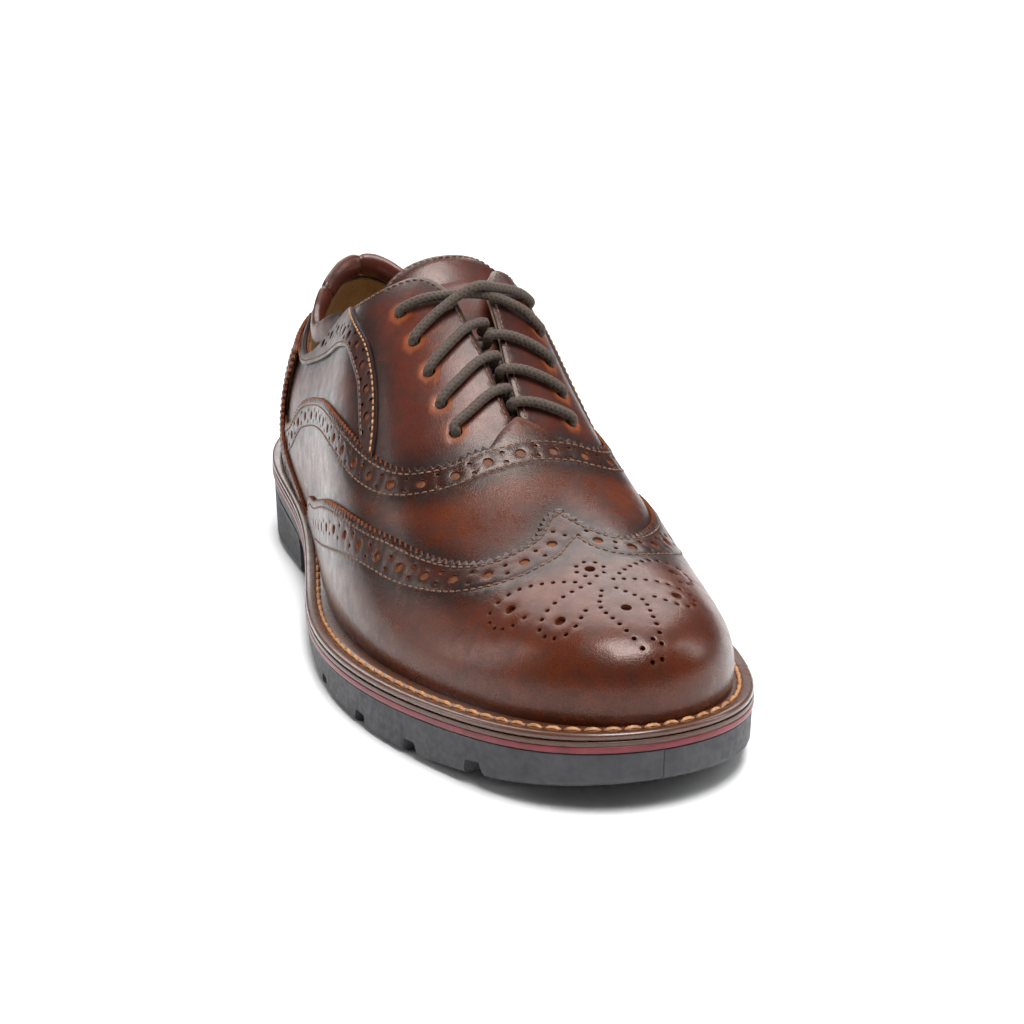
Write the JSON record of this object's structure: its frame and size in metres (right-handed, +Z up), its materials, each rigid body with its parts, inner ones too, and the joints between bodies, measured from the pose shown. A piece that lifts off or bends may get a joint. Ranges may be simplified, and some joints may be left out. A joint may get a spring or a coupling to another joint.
{
  "type": "brogue oxford shoe",
  "caption": "Right leather oxford dress shoe with wing toe cap, closed lacing, welted stitched sole and rubber heel.",
  "frame": {"origin": "middle of the footprint's bounding box, on the ground under the sole", "axes": "+Z up, -Y towards the toe, +Y towards the heel, -X towards the outer side of the foot, +X towards the inner side"},
  "size_m": [0.1176, 0.305, 0.1211],
  "materials": {
    "burnished_leather": "glossy burnished brown calf leather with fine grain",
    "welt_leather": "waxed dark brown edge",
    "lining_suede": "matt brown suede-like lining",
    "lining_leather": "matt natural lining leather",
    "fibre_board": "matt pressed fibre board",
    "outsole_rubber": "matt moulded dark grey rubber",
    "stripe_rubber": "satin maroon rubber",
    "cork": "matt ground cork filler",
    "steel": "plain steel",
    "lace_cotton": "round braided waxed cotton",
    "aglet_plastic": "clear brown lace tip"
  },
  "bodies": {
    "shoe": {"outsole": "outsole_rubber", "heel_block": "outsole_rubber", "heel_nail_1": "steel", "heel_nail_2": "steel", "heel_nail_3": "steel", "heel_nail_4": "steel", "midsole_stripe": "stripe_rubber", "midsole": "welt_leather", "welt": "welt_leather", "cork_filler": "cork", "shank": "steel", "insole_board": "fibre_board", "sock_liner": "lining_leather", "toe_puff": "fibre_board", "heel_counter": "fibre_board", "vamp_lining": "lining_leather", "heel_lining": "lining_suede", "vamp": "burnished_leather", "wing_toe_cap": "burnished_leather", "heel_counter_cover": "burnished_leather", "quarter_front_lateral": "burnished_leather", "quarter_front_medial": "burnished_leather", "quarter_lining_lateral": "lining_suede", "quarter_lining_medial": "lining_suede", "quarter_back_lateral": "burnished_leather", "quarter_back_medial": "burnished_leather", "collar_band_lateral": "burnished_leather", "collar_band_medial": "burnished_leather", "collar_roll": "burnished_leather", "shoelace": "lace_cotton", "aglet_lateral": "aglet_plastic", "aglet_medial": "aglet_plastic"},
    "tongue": {"tongue": "burnished_leather", "tongue_lining": "lining_suede"}
  },
  "joints": [
    {"name": "tongue_hinge", "type": "hinge", "parent": "shoe", "child": "tongue", "pos_m": [0.005, -0.038, 0.07], "axis": [-1, 0, 0], "range_deg": [0, 12], "stiffness_Nm_per_rad": 0.25}
  ]
}
